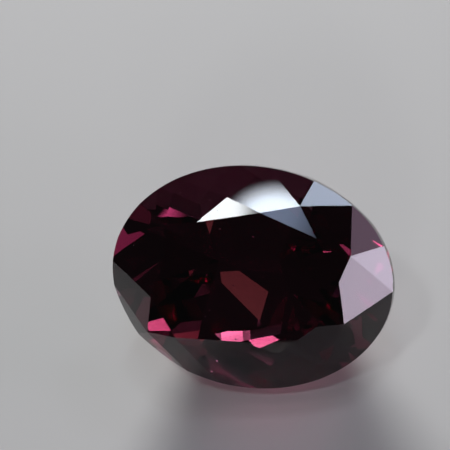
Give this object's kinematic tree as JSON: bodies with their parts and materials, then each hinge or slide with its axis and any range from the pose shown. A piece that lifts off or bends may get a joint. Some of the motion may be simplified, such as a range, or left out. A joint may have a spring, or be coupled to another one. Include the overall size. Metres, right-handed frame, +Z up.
{
  "type": "spinel gemstone",
  "caption": "Loose oval faceted spinel, dark plum and see-through, lying on one pavilion facet with its flat table tilted to the front; a gem for a setting or a display.",
  "frame": {"origin": "middle of the bounding box, on the surface that the stone lies on", "axes": "+X along the stone's long axis; the table faces up and towards -Y; +Z up"},
  "size_m": [0.009, 0.0056, 0.0049],
  "materials": {
    "spinel": "polished clear crystal, dark plum with pink flashes"
  },
  "bodies": {
    "root": {"spinel": "spinel"}
  },
  "joints": []
}
